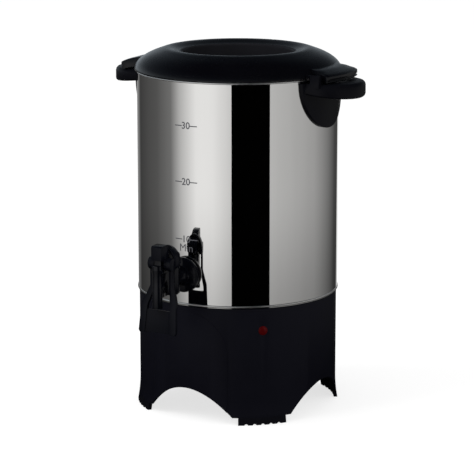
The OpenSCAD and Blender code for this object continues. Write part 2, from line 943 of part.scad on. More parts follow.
// outline of the lever's hood from the side, shrunk by t for the hollow
module hood_side(t) {
    front = hood_front - t;
    rear = hood_rear + t;
    top = hood_top - t;
    round_r = 2.4;
    polygon(concat(
        [for (p = arc_points(-(front - round_r), top - round_r, round_r, 180, 90, 5)) p],
        [[-pivot_y, top + 0.3], [-(pivot_y - 4), top - 0.6], [-(pivot_y - 9), top - 3.4],
            [-(pivot_y - 14), top - 7], [-(rear + 1.2), top - 10.6], [-rear, top - 12.6]],
        [[-rear, pivot_z - (t > 0 ? 8 : 1.2)], [-(pivot_y - 4.6), pivot_z - (t > 0 ? 8 : 1.2)]],
        t > 0 ? [] : arc_points(-pivot_y, pivot_z, 4.6, -12, -110, 8),
        [[-(hood_front - 4), pivot_z + (t > 0 ? -8 : 4.2)], [-front, pivot_z + (t > 0 ? -8 : 4.2)]]
    ));
}

// side view of the lever's arms: down from the pivot, then out to the paddle
module arm_side(back, front) {
    polygon([
        [-(pivot_y - back), pivot_z], [-(pivot_y - back - 0.4), pivot_z - 20],
        [-(paddle_y - 5.6 - back), paddle_top + 13], [-(paddle_y - 1.4 - back), paddle_top + 3],
        [-(paddle_y + 1.2 - back), paddle_bottom], [-(paddle_y + 1.2 + front), paddle_bottom],
        [-(paddle_y - 1.4 + front), paddle_top + 3], [-(paddle_y - 5.6 + front), paddle_top + 13],
        [-(pivot_y + front), pivot_z - 20], [-(pivot_y + front), pivot_z]
    ]);
}

// front view of the lever's two arms and the rim of its paddle
module arm_front() {
    top_in = drum_half - 3.4;
    for (side = [-1, 1])
        scale([side, 1])
            polygon([
                [top_in, pivot_z], [drum_half, pivot_z], [drum_half, pivot_z - 21],
                [paddle_half_w - 1.6, paddle_top + 7], [paddle_half_w, paddle_bottom + 2],
                [paddle_half_w - 1.4, paddle_bottom], [paddle_half_w - bar_w, paddle_bottom],
                [paddle_half_w - bar_w - 1.6, paddle_top + 5], [top_in, pivot_z - 24]
            ]);
}

// plate between the bars, hollowed to the round of a cup and leaning with the bars
module paddle_plate() {
    cup_r = 68;
    lean = atan(2.6 / (paddle_h + 3));
    half_a = asin((paddle_half_w - bar_w / 2) / cup_r);
    translate([0, -(paddle_y + 2.2 + cup_r * cos(half_a)), paddle_bottom + 0.6 + cup_r * sin(lean)])
        rotate([-lean, 0, 0])
            rotate([0, 0, 90 - half_a])
                rotate_extrude(angle = 2 * half_a, $fn = 180)
                    translate([cup_r, 0])
                        square([2, paddle_h - 0.6]);
}

module tap_lever() {
    color([0.05, 0.05, 0.055])
    difference() {
        union() {
            difference() {
                across(hood_half)
                    hood_side(0);
                across(hood_in)
                    hood_side(hood_t);
            }
            for (side = [-1, 1]) {
                // drums on the pivot
                translate([side > 0 ? hood_half - 0.1 : -drum_half, -pivot_y, pivot_z])
                    rotate([0, 90, 0])
                        cylinder(r = drum_r, h = drum_half - hood_half + 0.1);
                // lugs under the stem's head
                translate([side > 0 ? stem_d / 2 + 0.4 : -hood_in - 0.2, -valve_y, pivot_z])
                    rotate([0, 90, 0])
                        cylinder(r = lug_r, h = hood_in - stem_d / 2 - 0.2);
            }
            intersection() {
                rotate([90, 0, 0])
                    translate([0, 0, body_r])
                        linear_extrude(height = 100)
                            arm_front();
                across(paddle_half_w + 1)
                    arm_side(1.7, 1.7);
            }
            paddle_plate();
        }
        cross_hole(pivot_y, pivot_z, pin_d / 2, drum_half - 0.6);
    }
}

module tap_pivot_pin() {
    color([0.8, 0.8, 0.82])
    cross_hole(pivot_y, pivot_z, pin_d / 2, drum_half - 0.8);
}

// ---- lid ----

// outside of the dome, from the crest (0) to the edge (1)
function dome_point(u, r_crest, r_edge, rise) =
    [r_crest + (r_edge - r_crest) * u, z_lid + rise * pow(max(0, 1 - pow(u, 1.8)), 1 / 1.91)];

function dome_curve(r_from, r_crest, r_edge, rise, n) =
    let (u0 = (r_from - r_crest) / (r_edge - r_crest))
    [for (i = [0:n]) dome_point(u0 + (1 - u0) * sin(90 * i / n), r_crest, r_edge, rise)];

function dome_z(r) = dome_point((r - crest_r) / (lid_r - crest_r), crest_r, lid_r, dome_h)[1];
z_recess = dome_z(recess_r + lip_r) - lip_r;
z_cup = z_foot + tube_h + tube_clear + lid_t;

module lid_profile() {
    floor_r = recess_r - recess_taper;
    n = 26;
    outside = dome_curve(recess_r + lip_r, crest_r, lid_r, dome_h, n);
    inside = dome_curve(recess_r + lid_t, crest_r, lid_r - lid_t, dome_h - lid_t, n);
    under = [for (i = [n:-1:0]) if (inside[i][0] < stopper_r - stopper_t - 0.5) inside[i]];
    polygon(concat(
        outside,
        // skirt, ledge over the seal and stopper ring
        [[skirt_in, z_lid], [skirt_in, z_ledge], [stopper_r, z_ledge], [stopper_r, z_ledge - stopper_h],
            [stopper_r - stopper_t, z_ledge - stopper_h], [stopper_r - stopper_t, z_ledge + 2]],
        under,
        // cup of the recess
        [[recess_r + lid_t, z_recess - 1], [floor_r + lid_t, z_cup + 2], [floor_r + lid_t - 3, z_cup - lid_t],
            [0, z_cup - lid_t], [0, z_cup]],
        arc_points(floor_r - 4, z_cup + 4, 4, -90, 0, 6),
        arc_points(recess_r + lip_r, z_recess, lip_r, 180, 96, 6)
    ));
}

// section of an ear: a crowned tab with a groove round its edge, drawn as (radius, height)
module ear_profile() {
    top = z_lid + ear_h;
    tip = body_r + ear_reach;
    polygon([
        [skirt_in + 0.3, z_lid], [tip - 6, z_lid], [tip - 3, z_lid - 0.8], [tip - 0.7, z_lid - 0.8],
        [tip, z_lid - 0.2], [tip, z_lid + 0.8], [tip - 1, z_lid + 1.2], [tip - 1, z_lid + 1.8],
        [tip, z_lid + 2.2], [tip, top - 3.2], [tip - 0.6, top - 2.5], [tip - 3, top - 1.3],
        [tip - 7, top - 0.3], [tip - 11, top],
        [lid_r - 4, top], [lid_r - 4, z_ledge + 1], [skirt_in + 0.3, z_ledge + 1]
    ]);
}

// section of the thin bayonet tab beside an ear
module tab_profile() {
    polygon([
        [skirt_in + 0.3, z_lid], [lid_r + tab_reach, z_lid], [lid_r + tab_reach, z_lid + 4],
        [lid_r - 0.4, z_lid + 4], [lid_r - 2, z_ledge + 1], [skirt_in + 0.3, z_ledge + 1]
    ]);
}

module lid() {
    color([0.05, 0.05, 0.055]) {
        difference() {
            union() {
                rotate_extrude($fn = 180)
                    lid_profile();
                for (side = [0, 180])
                    rotate([0, 0, ear_start - 90 + side]) {
                        rotate_extrude(angle = ear_sweep, $fn = 180)
                            ear_profile();
                        rotate([0, 0, -tab_a])
                            rotate_extrude(angle = tab_a + 1, $fn = 180)
                                tab_profile();
                    }
            }
            // steam vents in the recess floor
            for (a = [0:60:300])
                rotate([0, 0, a])
                    translate([12, 0, z_cup - 10])
                        cylinder(r = 1.5, h = 20);
        }
    }
}

module lid_seal() {
    color([0.75, 0.75, 0.73])
    translate([0, 0, z_rim + slip])
        rotate_extrude()
            translate([stopper_r + 0.8, 0])
                square([skirt_in - 0.7 - stopper_r - 0.8, seal_h]);
}

// ---- percolator ----

module pump_tube() {
    bell_h = 11;
    color([0.8, 0.8, 0.82])
    difference() {
        rotate_extrude()
            polygon([
                [foot_r, z_foot], [foot_r, z_foot + 2.2], [tube_r + 4, z_foot + bell_h - 2],
                [tube_r, z_foot + bell_h], [tube_r, z_basket - 2], [tube_r + 3, z_basket - 2],
                [tube_r + 3, z_basket], [tube_r, z_basket], [tube_r, z_foot + tube_h],
                [tube_r - tube_t, z_foot + tube_h], [tube_r - tube_t, z_foot + bell_h - 1],
                [tube_r + 3, z_foot + bell_h - 3.2], [foot_r - tube_t, z_foot + 1.6],
                [foot_r - tube_t, z_foot]
            ]);
        // water inlets round the foot
        for (a = [0:60:300])
            rotate([0, 0, a])
                translate([foot_r, 0, z_foot - 0.6])
                    rotate([0, 90, 0])
                        translate([0, 0, -5])
                            cylinder(r = 1.6, h = 10, $fn = 24);
    }
}

// rings of round perforations
module perforations(rings, z, h) {
    for (ring = rings, a = [0:360 / ring[1]:359])
        rotate([0, 0, a])
            translate([ring[0], 0, z])
                cylinder(d = hole_d, h = h, $fn = 16);
}

module filter_basket() {
    sleeve_r = tube_r + slip;
    color([0.8, 0.8, 0.82])
    difference() {
        rotate_extrude()
            polygon([
                [sleeve_r, z_basket], [basket_r - 2, z_basket], [basket_r, z_basket + 2],
                [basket_r, z_basket + basket_h - sheet], [basket_r + 2, z_basket + basket_h - sheet],
                [basket_r + 2, z_basket + basket_h], [basket_r - sheet, z_basket + basket_h],
                [basket_r - sheet, z_basket + 2.4], [basket_r - 2.4, z_basket + sheet],
                [sleeve_r + sheet, z_basket + sheet], [sleeve_r + sheet, z_basket + basket_h - 4],
                [sleeve_r, z_basket + basket_h - 4]
            ]);
        perforations([[basket_r * 0.4, 12], [basket_r * 0.75, 18]], z_basket - 1, 3);
    }
}

module basket_spreader() {
    hole_r = tube_r + slip;
    z = z_basket + basket_h;
    color([0.82, 0.82, 0.84])
    difference() {
        rotate_extrude()
            polygon([
                [hole_r, z - 3], [basket_r - sheet - 1, z - 3], [basket_r - sheet - 1, z],
                [basket_r + 1, z], [basket_r + 1, z + sheet], [basket_r - 2 * sheet - 1, z + sheet],
                [basket_r - 2 * sheet - 1, z - 3 + sheet], [hole_r, z - 3 + sheet]
            ]);
        perforations([[basket_r * 0.4, 12], [basket_r * 0.75, 18]], z - 4, 3);
    }
}

base_housing();
foot_pads();
base_cover();
cover_screws();
tank();
tie_rod();
tie_nut();
heater_plate();
heating_element();
thermostat();
thermal_fuse();
heat_shield();
indicator_lens();
indicator_lamp();
power_inlet();
inlet_pins();
inlet_screws();
handle_right();
handle_left();
handle_screws();
tap_gasket();
tap_body();
tap_inner_washer();
tap_nut();
tap_bonnet();
tap_spring();
tap_stem();
tap_seat_cup();
tap_lever();
tap_pivot_pin();
lid_seal();
lid();
pump_tube();
filter_basket();
basket_spreader();
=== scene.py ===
import json
import math

import bmesh
import bpy
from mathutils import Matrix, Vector


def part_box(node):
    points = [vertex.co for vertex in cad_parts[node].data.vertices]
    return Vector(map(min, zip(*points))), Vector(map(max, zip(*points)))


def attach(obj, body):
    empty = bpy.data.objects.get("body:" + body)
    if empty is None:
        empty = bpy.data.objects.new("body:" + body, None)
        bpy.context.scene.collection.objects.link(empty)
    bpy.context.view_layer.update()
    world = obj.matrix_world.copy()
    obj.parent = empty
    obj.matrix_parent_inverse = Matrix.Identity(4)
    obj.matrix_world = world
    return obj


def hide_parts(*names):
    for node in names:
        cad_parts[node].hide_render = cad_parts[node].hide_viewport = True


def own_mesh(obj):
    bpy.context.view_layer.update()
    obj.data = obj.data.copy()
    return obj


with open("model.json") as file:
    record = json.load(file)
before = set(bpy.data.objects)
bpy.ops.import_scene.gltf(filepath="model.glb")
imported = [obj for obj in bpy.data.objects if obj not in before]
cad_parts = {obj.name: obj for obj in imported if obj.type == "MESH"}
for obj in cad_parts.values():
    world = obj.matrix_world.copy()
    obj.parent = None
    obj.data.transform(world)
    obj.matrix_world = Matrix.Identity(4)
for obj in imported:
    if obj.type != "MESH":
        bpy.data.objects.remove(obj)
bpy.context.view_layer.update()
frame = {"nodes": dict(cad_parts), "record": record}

# ---- Base housing ----
# The black footed base: one injection moulding in ABS, with a fine spark-eroded grain that keeps it matt.
# It is moulded round a core from below; the tank sits on its upper rim and the cover closes it underneath.

# an edge that turns by more than this is crisp, and faces that turn by less than flat_turn are one face
sharp_turn = math.radians(30.0)
flat_turn = math.radians(1.0)
# nearly all of a noise texture lies between these
noise_low = 0.3
noise_high = 0.7
# width of the slow blotches of colour in a moulding
blotch_mm = 30.0


def hex_colour(code):
    """Linear RGBA of an sRGB hex colour."""
    parts = [int(code[i:i + 2], 16) / 255 for i in (1, 3, 5)]
    return [c / 12.92 if c <= 0.04045 else ((c + 0.055) / 1.055) ** 2.4 for c in parts] + [1.0]


def add(tree, kind, settings=None, inputs=None):
    """Adds a node: settings by name, and inputs by name or number, each a value or a socket to link."""
    node = tree.nodes.new(kind)
    for key, value in (settings or {}).items():
        setattr(node, key, value)
    for key, value in (inputs or {}).items():
        if isinstance(value, bpy.types.NodeSocket):
            tree.links.new(value, node.inputs[key])
        else:
            node.inputs[key].default_value = value
    return node


def new_material(name):
    """An empty material, its node tree and its Object coordinates."""
    made = bpy.data.materials.new(name)
    made.use_nodes = True
    made.node_tree.nodes.clear()
    place = add(made.node_tree, "ShaderNodeTexCoord").outputs["Object"]
    return made, made.node_tree, place


def close_material(tree, shader):
    """Links the shader to the material's output."""
    add(tree, "ShaderNodeOutputMaterial", inputs={"Surface": shader.outputs[0]})


def moulded(name, colour, paler, roughness, grain_mm, depth_mm, specular=0.5):
    """A moulding: grain of that size in millimetres, slow colour blotches and a gloss that varies a bit."""
    made, tree, place = new_material(name)
    grain = add(tree, "ShaderNodeTexNoise", {"noise_dimensions": "3D"},
                {"Vector": place, "Scale": 1000 / grain_mm, "Detail": 3.0, "Roughness": 0.6})
    blotch = add(tree, "ShaderNodeTexNoise", {},
                 {"Vector": place, "Scale": 1000 / blotch_mm, "Detail": 4.0})
    tint = add(tree, "ShaderNodeMix", {"data_type": "RGBA"},
               {0: blotch.outputs["Fac"], 6: hex_colour(colour), 7: hex_colour(paler)})
    gloss = add(tree, "ShaderNodeMapRange", {},
                {"Value": blotch.outputs["Fac"], "From Min": noise_low, "From Max": noise_high,
                 "To Min": roughness - 0.03, "To Max": roughness + 0.04})
    bump = add(tree, "ShaderNodeBump", {},
               {"Height": grain.outputs["Fac"], "Strength": 1.0, "Distance": depth_mm / 1000})
    shader = add(tree, "ShaderNodeBsdfPrincipled", {},
                 {"Base Color": tint.outputs[2], "Roughness": gloss.outputs[0], "IOR": 1.53,
                  "Specular IOR Level": specular, "Normal": bump.outputs[0]})
    close_material(tree, shader)
    return made


def linked(name, data):
    """A new object of that data, linked to the scene."""
    made = bpy.data.objects.new(name, data)
    bpy.context.scene.collection.objects.link(made)
    return made


def shade(mesh):
    """Shades a bmesh smooth between its crisp edges."""
    for face in mesh.faces:
        face.smooth = True
    for edge in mesh.edges:
        edge.smooth = len(edge.link_faces) == 2 and edge.calc_face_angle(0) < sharp_turn


def welded(node, name, body, finish, edge_mm=0.0, form=None):
    """A welded copy of a CAD node that stands for it: form moves its points, edge_mm rounds its edges."""
    piece = linked(name, frame["nodes"][node].data.copy())
    mesh = bmesh.new()
    mesh.from_mesh(piece.data)
    bmesh.ops.remove_doubles(mesh, verts=mesh.verts, dist=2e-6)
    if form:
        for vertex in mesh.verts:
            vertex.co = form(vertex.co)
    if edge_mm:
        bmesh.ops.dissolve_limit(mesh, angle_limit=flat_turn, verts=mesh.verts, edges=mesh.edges)
        crisp = [e for e in mesh.edges if len(e.link_faces) == 2 and e.calc_face_angle(0) > sharp_turn]
        bmesh.ops.bevel(mesh, geom=crisp, offset=edge_mm / 1000, segments=2, profile=0.5, affect="EDGES",
                        clamp_overlap=True)
    shade(mesh)
    mesh.to_mesh(piece.data)
    mesh.free()
    piece.data.materials.clear()
    piece.data.materials.append(finish)
    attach(piece, body)
    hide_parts(node)
    return piece


def finish_node(name, finish):
    """Gives a CAD node its material."""
    slots = frame["nodes"][name].material_slots
    if slots:
        for slot in slots:
            slot.material = finish
    else:
        frame["nodes"][name].data.materials.append(finish)


# matt black ABS: almost no sheen, a trace of blue, grain just large enough to show
base_abs = moulded("abs_matt_black", "#0d0d15", "#12121b", 0.5, 0.9, 0.012, specular=0.08)
welded("base_housing", "base_moulding", "urn", base_abs, edge_mm=0.5)

# ---- Foot pads ----
# Four pads of black rubber, moulded with grip ribs across their undersides and pushed on to the feet.
# They stop the urn from sliding on a wet table.

# black rubber: dead matt, with the deepest grain of the black parts
pad_rubber = moulded("rubber_foot_black", "#0a0a10", "#101016", 0.8, 0.7, 0.04, specular=0.06)
finish_node("foot_pads", pad_rubber)

# ---- Bottom cover and its screws ----
# A pressed disc of zinc-plated sheet steel with cooling slots, held up by four pan-head screws.
# A tie rod and nut through its middle pull the tank down on to the base.


def plated(name, colour, paler, roughness, grain_mm, depth_mm):
    """Plated or plain metal with faint rolling or tumbling marks of that size."""
    made, tree, place = new_material(name)
    marks = add(tree, "ShaderNodeTexNoise", {},
                {"Vector": place, "Scale": 1000 / grain_mm, "Detail": 5.0})
    tint = add(tree, "ShaderNodeMix", {"data_type": "RGBA"},
               {0: marks.outputs["Fac"], 6: hex_colour(colour), 7: hex_colour(paler)})
    gloss = add(tree, "ShaderNodeMapRange", {},
                {"Value": marks.outputs["Fac"], "From Min": noise_low, "From Max": noise_high,
                 "To Min": roughness - 0.06, "To Max": roughness + 0.08})
    bump = add(tree, "ShaderNodeBump", {},
               {"Height": marks.outputs["Fac"], "Strength": 0.6, "Distance": depth_mm / 1000})
    shader = add(tree, "ShaderNodeBsdfPrincipled", {},
                 {"Base Color": tint.outputs[2], "Metallic": 1.0, "Roughness": gloss.outputs[0],
                  "Normal": bump.outputs[0]})
    close_material(tree, shader)
    return made


# zinc-plated sheet: grey, with the soft spangle of the plating
zinc_sheet = plated("steel_sheet_zinc_plated", "#9c9ea1", "#b4b6b8", 0.38, 6.0, 0.02)
# bright nickel plate on the fasteners and rods: a clear, slightly warm reflection
bright_plate = plated("steel_nickel_plated", "#bdbab4", "#d2cfc8", 0.22, 1.2, 0.01)
finish_node("base_cover", zinc_sheet)
finish_node("heat_shield", zinc_sheet)
for fastener in ("cover_screws", "tie_rod", "tie_nut", "inlet_screws", "handle_screws", "tap_nut",
                 "tap_stem", "tap_pivot_pin"):
    finish_node(fastener, bright_plate)

# ---- Tank ----
# The drawn tank of polished 18/10 stainless steel, with a rolled bead at each end of the part that shows.
# The wall, the floor and the pump well are one polished skin.


def built(name, mesh):
    """A new object made from a bmesh, which is then freed."""
    piece = linked(name, bpy.data.meshes.new(name))
    mesh.to_mesh(piece.data)
    mesh.free()
    return piece


def lathe(name, profile, steps):
    """Spins a closed outline of (radius, height) in metres round the urn's axis."""
    mesh = bmesh.new()
    rings = []
    for i in range(steps):
        turn = 2 * math.pi * i / steps
        rings.append([mesh.verts.new((r * math.cos(turn), r * math.sin(turn), z)) for r, z in profile])
    for i in range(steps):
        here, there = rings[i], rings[(i + 1) % steps]
        for k in range(len(profile)):
            n = (k + 1) % len(profile)
            mesh.faces.new((here[k], there[k], there[n], here[n]))
    bmesh.ops.remove_doubles(mesh, verts=mesh.verts, dist=1e-6)
    bmesh.ops.dissolve_degenerate(mesh, dist=1e-7, edges=mesh.edges)
    bmesh.ops.recalc_face_normals(mesh, faces=mesh.faces)
    shade(mesh)
    return built(name, mesh)


tank_low, tank_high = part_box("tank")
tank_t = 0.0008
tank_r = 0.096
tank_in = tank_r - tank_t
# the part of the drum that shows, between the base and the lid
shell_low = 0.1124
shell_high = 0.3240
# the rim: its outer corner, its rounded edge and the lead inside it
rim_z = tank_high.z
rim_corner = 0.0002
rim_round = 0.0003
rim_lead = 0.0014
# the floor's underside and its upper face, and the bend where it meets the wall
floor_z = 0.1210
floor_top = floor_z + tank_t
floor_bend = 0.0040
floor_bend_mid = 0.0012
# the pump well in the middle of the floor, and the bend at its mouth
well_r = 0.0280
well_z = tank_low.z
well_bend = 0.0018
well_bend_mid = 0.0005

tank_outline = [(tank_in, shell_low), (tank_r, shell_low), (tank_r, rim_z - rim_corner),
                (tank_r - rim_round, rim_z), (tank_in - rim_round, rim_z - rim_round),
                (tank_in, rim_z - rim_lead), (tank_in, floor_top + floor_bend),
                (tank_in - floor_bend_mid, floor_top + floor_bend_mid), (tank_in - floor_bend, floor_top),
                (well_r + well_bend, floor_top), (well_r + well_bend_mid, floor_top - well_bend_mid),
                (well_r, floor_z - well_bend), (well_r, well_z + tank_t), (0.0, well_z + tank_t),
                (0.0, well_z), (well_r + tank_t, well_z), (well_r + tank_t, floor_z), (tank_in, floor_z)]
tank_shell = lathe("tank_shell", tank_outline, 288)

# polished 18/10 stainless steel: a clear reflection with a trace of the polishing mop's lines round the
# drum; they are drawn 0.6 mm apart, because real ones are too fine to show
mop_lines_per_metre = 1600.0
mop_streaks_per_radian = 1.6
# and the slow waves of the drawn sheet
waves_per_metre = 5.0
waves_per_radian = 9.0
polished_steel, tree, place = new_material("stainless_steel_polished")
spot = add(tree, "ShaderNodeSeparateXYZ", inputs={0: place})
turn = add(tree, "ShaderNodeMath", {"operation": "ARCTAN2"}, {0: spot.outputs[1], 1: spot.outputs[0]})
unrolled = add(tree, "ShaderNodeCombineXYZ", inputs={0: turn.outputs[0], 1: spot.outputs[2]})
mop_lines = add(tree, "ShaderNodeMapping", {},
                {"Vector": unrolled.outputs[0],
                 "Scale": (mop_streaks_per_radian, mop_lines_per_metre, 1.0)})
mop = add(tree, "ShaderNodeTexNoise", {}, {"Vector": mop_lines.outputs[0], "Scale": 1.0, "Detail": 2.0})
wave_map = add(tree, "ShaderNodeMapping", {},
               {"Vector": unrolled.outputs[0], "Scale": (waves_per_radian, waves_per_metre, 1.0)})
wave = add(tree, "ShaderNodeTexNoise", {}, {"Vector": wave_map.outputs[0], "Scale": 1.0, "Detail": 1.0})
gloss = add(tree, "ShaderNodeMapRange", {},
            {"Value": mop.outputs["Fac"], "From Min": noise_low, "From Max": noise_high,
             "To Min": 0.018, "To Max": 0.034})
tint = add(tree, "ShaderNodeMix", {"data_type": "RGBA"},
           {0: wave.outputs["Fac"], 6: hex_colour("#e3e2e0"), 7: hex_colour("#e9e8e6")})
wavy = add(tree, "ShaderNodeBump", {},
           {"Height": wave.outputs["Fac"], "Strength": 0.25, "Distance": 0.00008})
lined = add(tree, "ShaderNodeBump", {},
            {"Height": mop.outputs["Fac"], "Strength": 0.12, "Distance": 0.000004,
             "Normal": wavy.outputs[0]})
close_material(tree, add(tree, "ShaderNodeBsdfPrincipled", {},
                         {"Base Color": tint.outputs[2], "Metallic": 1.0, "Roughness": gloss.outputs[0],
                          "Normal": lined.outputs[0]}))
tank_shell.data.materials.append(polished_steel)
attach(tank_shell, "urn")
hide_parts("tank")

# ---- Tank beads ----
# The two rolled beads that stiffen the drum: one just above the base and one just under the lid.
# Each is a small round swage run round the sheet.

bead_r = 0.0011
# the bead's middle lies this far inside the drum's face, and this far from the end of what shows
bead_sink = 0.0003
bead_in = 0.0014
bead_tree = bpy.data.node_groups.new("rolled_beads", "GeometryNodeTree")
for label, value in (("Drum Radius", tank_r - bead_sink), ("Bead Radius", bead_r),
                     ("Lower Bead", shell_low + bead_in),
                     ("Bead Spacing", shell_high - shell_low - 2 * bead_in)):
    size = bead_tree.interface.new_socket(label, in_out="INPUT", socket_type="NodeSocketFloat")
    size.default_value = value
bead_tree.interface.new_socket("Steel", in_out="INPUT", socket_type="NodeSocketMaterial")
bead_tree.interface.new_socket("Geometry", in_out="OUTPUT", socket_type="NodeSocketGeometry")
given = add(bead_tree, "NodeGroupInput")
drum_ring = add(bead_tree, "GeometryNodeCurvePrimitiveCircle", {},
                {"Resolution": 240, "Radius": given.outputs["Drum Radius"]})
swage = add(bead_tree, "GeometryNodeCurvePrimitiveCircle", {},
            {"Resolution": 14, "Radius": given.outputs["Bead Radius"]})
rolled = add(bead_tree, "GeometryNodeCurveToMesh", {},
             {"Curve": drum_ring.outputs["Curve"], "Profile Curve": swage.outputs["Curve"]})
first = add(bead_tree, "ShaderNodeCombineXYZ", {}, {"Z": given.outputs["Lower Bead"]})
step = add(bead_tree, "ShaderNodeCombineXYZ", {}, {"Z": given.outputs["Bead Spacing"]})
ends = add(bead_tree, "GeometryNodeMeshLine", {"mode": "OFFSET", "count_mode": "TOTAL"},
           {"Count": 2, "Start Location": first.outputs[0], "Offset": step.outputs[0]})
both = add(bead_tree, "GeometryNodeInstanceOnPoints", {},
           {"Points": ends.outputs["Mesh"], "Instance": rolled.outputs["Mesh"]})
real = add(bead_tree, "GeometryNodeRealizeInstances", {}, {"Geometry": both.outputs["Instances"]})
smooth = add(bead_tree, "GeometryNodeSetShadeSmooth", {}, {"Geometry": real.outputs["Geometry"]})
coated = add(bead_tree, "GeometryNodeSetMaterial", {},
             {"Geometry": smooth.outputs["Geometry"], "Material": given.outputs["Steel"]})
add(bead_tree, "NodeGroupOutput", {}, {"Geometry": coated.outputs["Geometry"]})


def plain_mesh(source):
    """The mesh that an object's modifiers or letters make; the object itself is removed."""
    bpy.context.view_layer.update()
    mesh = bpy.data.meshes.new_from_object(source.evaluated_get(bpy.context.evaluated_depsgraph_get()))
    bpy.data.objects.remove(source)
    return mesh


# stainless steel that keeps the dull bloom of the rolls that pressed the beads
rolled_steel = plated("stainless_steel_rolled", "#e3e2e0", "#e9e8e6", 0.34, 1.5, 0.003)
bead_seed = linked("bead_seed", bpy.data.meshes.new("bead_seed"))
maker = bead_seed.modifiers.new("rolled_beads", "NODES")
maker.node_group = bead_tree
steel_input = next(socket for socket in bead_tree.interface.items_tree if socket.name == "Steel")
maker[steel_input.identifier] = rolled_steel
tank_beads = linked("tank_beads", plain_mesh(bead_seed))
tank_beads.data.name = "tank_beads"
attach(tank_beads, "urn")

# ---- Level marks ----
# Cup numbers and the lowest filling line, etched dark into the front of the steel above the tap.
# Each number is flanked by two short dashes that show where to read the level.

# the marks' middle, as an angle round from the tap, and the height of each
mark_turn = math.radians(1.0)
level_z = {"30": 0.2820, "20": 0.2296, "10": 0.1755, "Min": 0.1672}
number_height = 0.0064
word_height = 0.0070
# as shares of the font's size: a capital's height, how much the digits are thickened, half the skin's depth
capital_share = 0.7
digit_weight = 0.012
skin_share = 0.004
# the middle of that skin lies this far off the steel
skin_lift = 0.00003
# a dash from its end near the number to its far end, and between its faces
dash_near = 0.0042
dash_far = 0.0118
dash_thick = 0.0009
dash_steps = 6
dash_inner_r = tank_r + 0.00001
dash_outer_r = tank_r + 0.00007

# etched steel: dull dark grey, rougher than the polish round it
etched = moulded("stainless_steel_etched", "#55555a", "#66666b", 0.6, 0.5, 0.01, specular=0.3)


def etch(words, z):
    """The mesh of words round the tank at height z, as a thin skin on the steel."""
    height = number_height if words.isdigit() else word_height
    text = bpy.data.curves.new("mark", "FONT")
    text.body = words
    text.size = 1.0
    text.offset = digit_weight if words.isdigit() else 0.0
    text.align_x = "CENTER"
    text.align_y = "CENTER"
    text.extrude = skin_share
    text.resolution_u = 3
    mesh = plain_mesh(linked("mark", text))
    for vertex in mesh.vertices:
        across, up, out = vertex.co * (height / capital_share)
        angle = mark_turn + across / tank_r
        r = tank_r + skin_lift + out
        vertex.co = (r * math.sin(angle), -r * math.cos(angle), z + up)
    return mesh


def dash(x0, x1, z):
    """The mesh of a thin dash at height z, from x0 to x1 round the tank."""
    mesh = bmesh.new()
    rows = []
    for i in range(dash_steps + 1):
        angle = mark_turn + (x0 + (x1 - x0) * i / dash_steps) / tank_r
        rows.append([mesh.verts.new((r * math.sin(angle), -r * math.cos(angle), z + side * dash_thick / 2))
                     for r, side in ((dash_inner_r, -1), (dash_outer_r, -1),
                                     (dash_outer_r, 1), (dash_inner_r, 1))])
    for i in range(dash_steps):
        for k in range(4):
            n = (k + 1) % 4
            mesh.faces.new((rows[i][k], rows[i + 1][k], rows[i + 1][n], rows[i][n]))
    mesh.faces.new(rows[0])
    mesh.faces.new(list(reversed(rows[-1])))
    bmesh.ops.recalc_face_normals(mesh, faces=mesh.faces)
    made = bpy.data.meshes.new("dash")
    mesh.to_mesh(made)
    mesh.free()
    return made


marks = bmesh.new()
for words, z in level_z.items():
    marks.from_mesh(etch(words, z))
    if words.isdigit():
        for side in (-1, 1):
            marks.from_mesh(dash(side * dash_near, side * dash_far, z))
level_marks = built("level_marks", marks)
level_marks.data.materials.append(etched)
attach(level_marks, "urn")

# ---- Heater and its controls ----
# A sheathed ring element and its spreader plate of aluminium, clamped to the tank's floor round the pump
# well. A bakelite thermostat and a ceramic fuse lie against the plate and switch the heater off.

# bare aluminium with a satin face: pale grey, with a broad soft highlight
satin_aluminium = plated("aluminium_satin", "#c4c6c8", "#d6d8da", 0.34, 1.0, 0.012)
# the element's steel sheath, browned unevenly by heat
browned_sheath = plated("steel_sheath_heat_browned", "#5a5048", "#7a6c5e", 0.45, 3.0, 0.03)
# pressed bakelite: brown-black, with the low gloss of its die
bakelite = moulded("bakelite_brown_black", "#2a2019", "#35291f", 0.4, 0.8, 0.02)
# glazed ceramic: cream, smooth and shiny
ceramic = moulded("ceramic_glazed_cream", "#d9d2c0", "#e2dccd", 0.25, 1.5, 0.01)
finish_node("heater_plate", satin_aluminium)
finish_node("heating_element", browned_sheath)
finish_node("thermostat", bakelite)
finish_node("thermal_fuse", ceramic)

# ---- Pilot light ----
# A red acrylic lens with a low dome, pushed into a round socket in the base, and the neon lamp behind it.
# The lamp is off, so the lens is a dark red.

# deep red acrylic over a dark socket: a dark body colour that swirls a little, and a soft highlight
swirls_per_metre = 900.0
lens_red, tree, place = new_material("acrylic_clear_red")
swirl = add(tree, "ShaderNodeTexNoise", {}, {"Vector": place, "Scale": swirls_per_metre, "Detail": 2.0})
tint = add(tree, "ShaderNodeMix", {"data_type": "RGBA"},
           {0: swirl.outputs["Fac"], 6: hex_colour("#330103"), 7: hex_colour("#560305")})
close_material(tree, add(tree, "ShaderNodeBsdfPrincipled", {},
                         {"Base Color": tint.outputs[2], "Roughness": 0.2, "IOR": 1.49,
                          "Specular IOR Level": 0.15}))
# the lens's direction from the urn's axis, round from the tap, and its height
lens_turn = math.radians(45.2)
lens_out = Vector((math.sin(lens_turn), -math.cos(lens_turn), 0.0))
lens_across = Vector((math.cos(lens_turn), math.sin(lens_turn), 0.0))
lens_low, lens_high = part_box("indicator_lens")
lens_centre = Vector((0.0, 0.0, (lens_low.z + lens_high.z) / 2))
